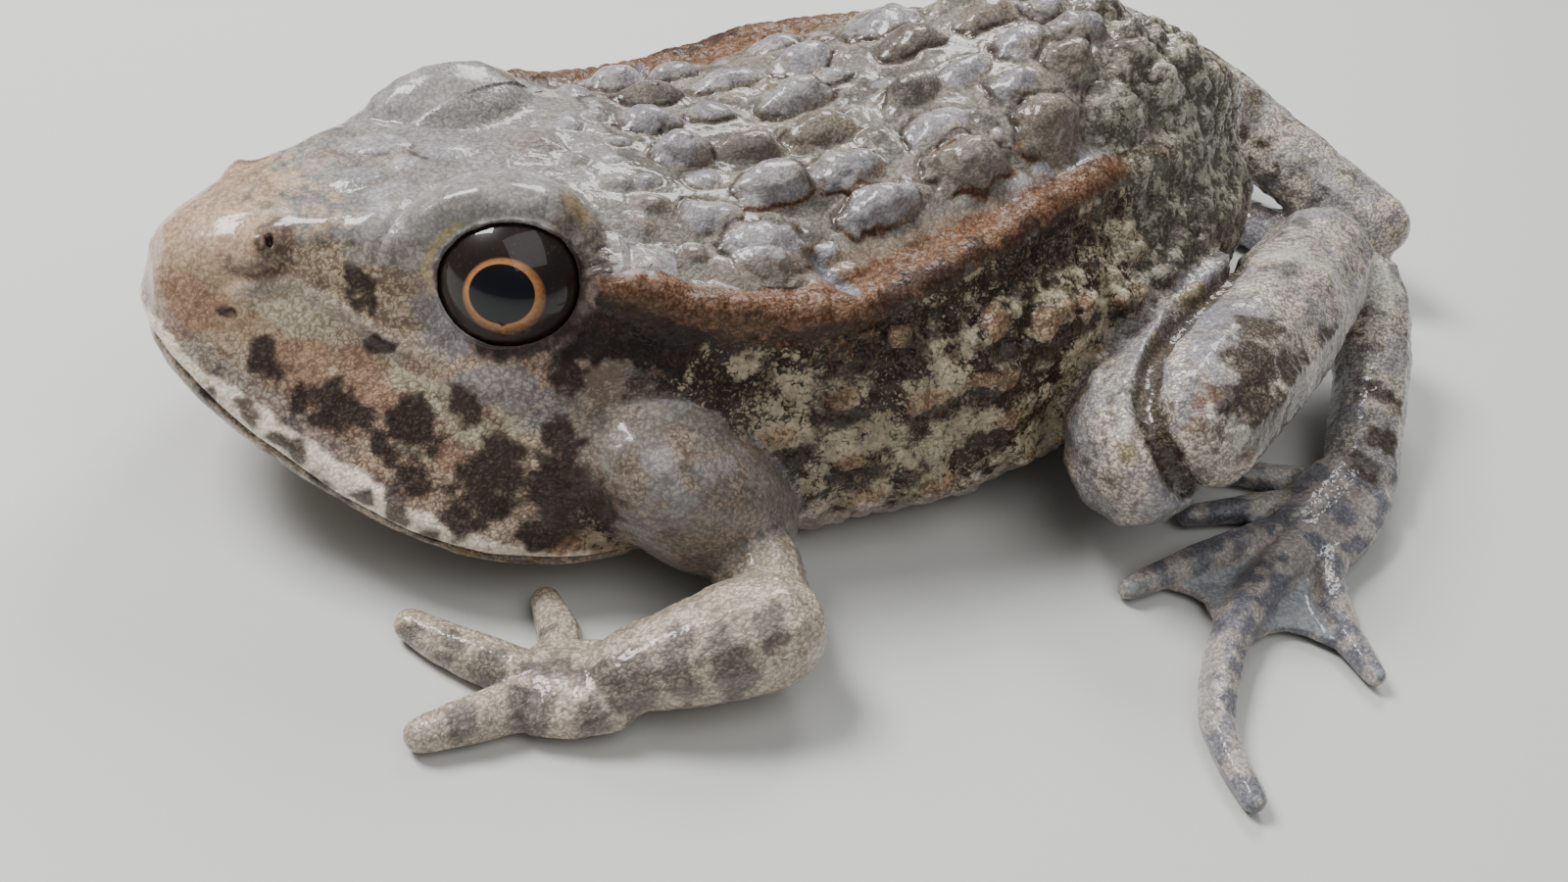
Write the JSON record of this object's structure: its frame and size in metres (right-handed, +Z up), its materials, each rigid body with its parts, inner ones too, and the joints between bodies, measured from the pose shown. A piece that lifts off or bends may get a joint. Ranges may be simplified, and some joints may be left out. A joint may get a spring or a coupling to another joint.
{
  "type": "gopher frog",
  "caption": "Life-size gopher frog resting on its belly, head lifted, left hind leg folded beside the body and right hind leg drawn up behind the rump.",
  "frame": {"origin": "middle of the bounding box's underside, on the floor that the frog rests on", "axes": "the snout points to -Y, the frog's left side is +X, +Z is up"},
  "size_m": [0.091, 0.1052, 0.028],
  "materials": {
    "skin_back": "wet, grey-brown with rust folds and dark mottling",
    "skin_throat": "wet, smooth, pale grey",
    "skin_limb": "wet, cream-grey with dark bars",
    "skin_foot": "wet, grey-lilac with pale spots",
    "eye": "clear gloss over a dark iris with a copper ring",
    "ear_drum": "wet, dark brown"
  },
  "bodies": {
    "root": {"head": "skin_back", "torso": "skin_back", "lower_jaw": "skin_throat", "vocal_sac_left": "skin_throat", "vocal_sac_right": "skin_throat", "upper_arm_left": "skin_limb", "upper_arm_right": "skin_limb", "forearm_left": "skin_limb", "forearm_right": "skin_limb", "hand_left": "skin_foot", "hand_right": "skin_foot", "thigh_left": "skin_limb", "thigh_right": "skin_limb", "shank_left": "skin_limb", "shank_right": "skin_limb", "tarsus_left": "skin_limb", "tarsus_right": "skin_limb", "foot_left": "skin_foot", "foot_right": "skin_foot", "eye_left": "eye", "eye_right": "eye", "ear_left": "ear_drum", "ear_right": "ear_drum"}
  },
  "joints": []
}
